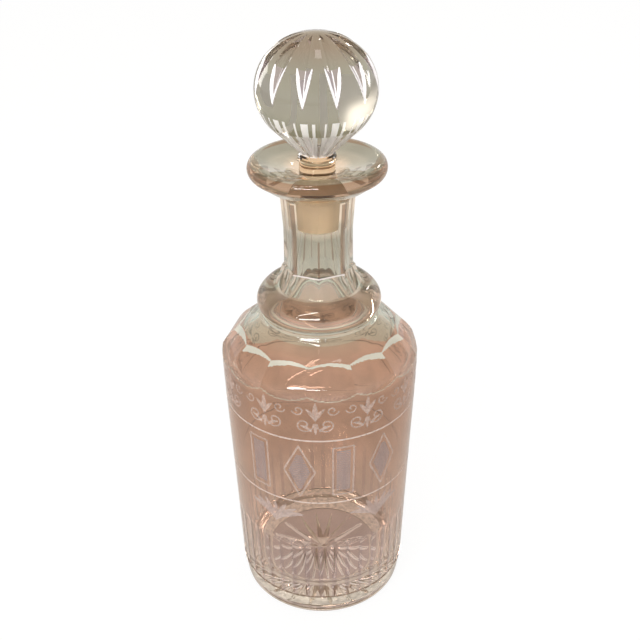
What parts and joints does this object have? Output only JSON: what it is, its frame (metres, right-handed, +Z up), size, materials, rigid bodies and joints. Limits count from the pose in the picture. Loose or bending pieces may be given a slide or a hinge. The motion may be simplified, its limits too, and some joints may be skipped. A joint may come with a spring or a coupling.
{
  "type": "decanter",
  "caption": "Cylindrical cut glass spirit decanter with an applied neck ring, a flared lip and a ground-in ball stopper.",
  "frame": {"origin": "centre of the foot, on the surface that the decanter stands on", "axes": "+Z up along the axis of the bottle and stopper, towards the stopper; the front of the picture faces -Y"},
  "size_m": [0.094, 0.094, 0.289],
  "materials": {
    "bottle": "clear polished glass with cut facets and flutes and a frosted etched band",
    "neck_ring": "clear fire-polished glass",
    "stopper": "clear cut glass with a frosted ground peg"
  },
  "bodies": {
    "bottle_body": {"bottle": "bottle", "neck_ring": "neck_ring"},
    "stopper_body": {"stopper": "stopper"}
  },
  "joints": [
    {"name": "stopper_lift", "type": "slide", "parent": "bottle_body", "child": "stopper_body", "axis": [0, 0, 1], "range_m": [0, 0.04]}
  ]
}
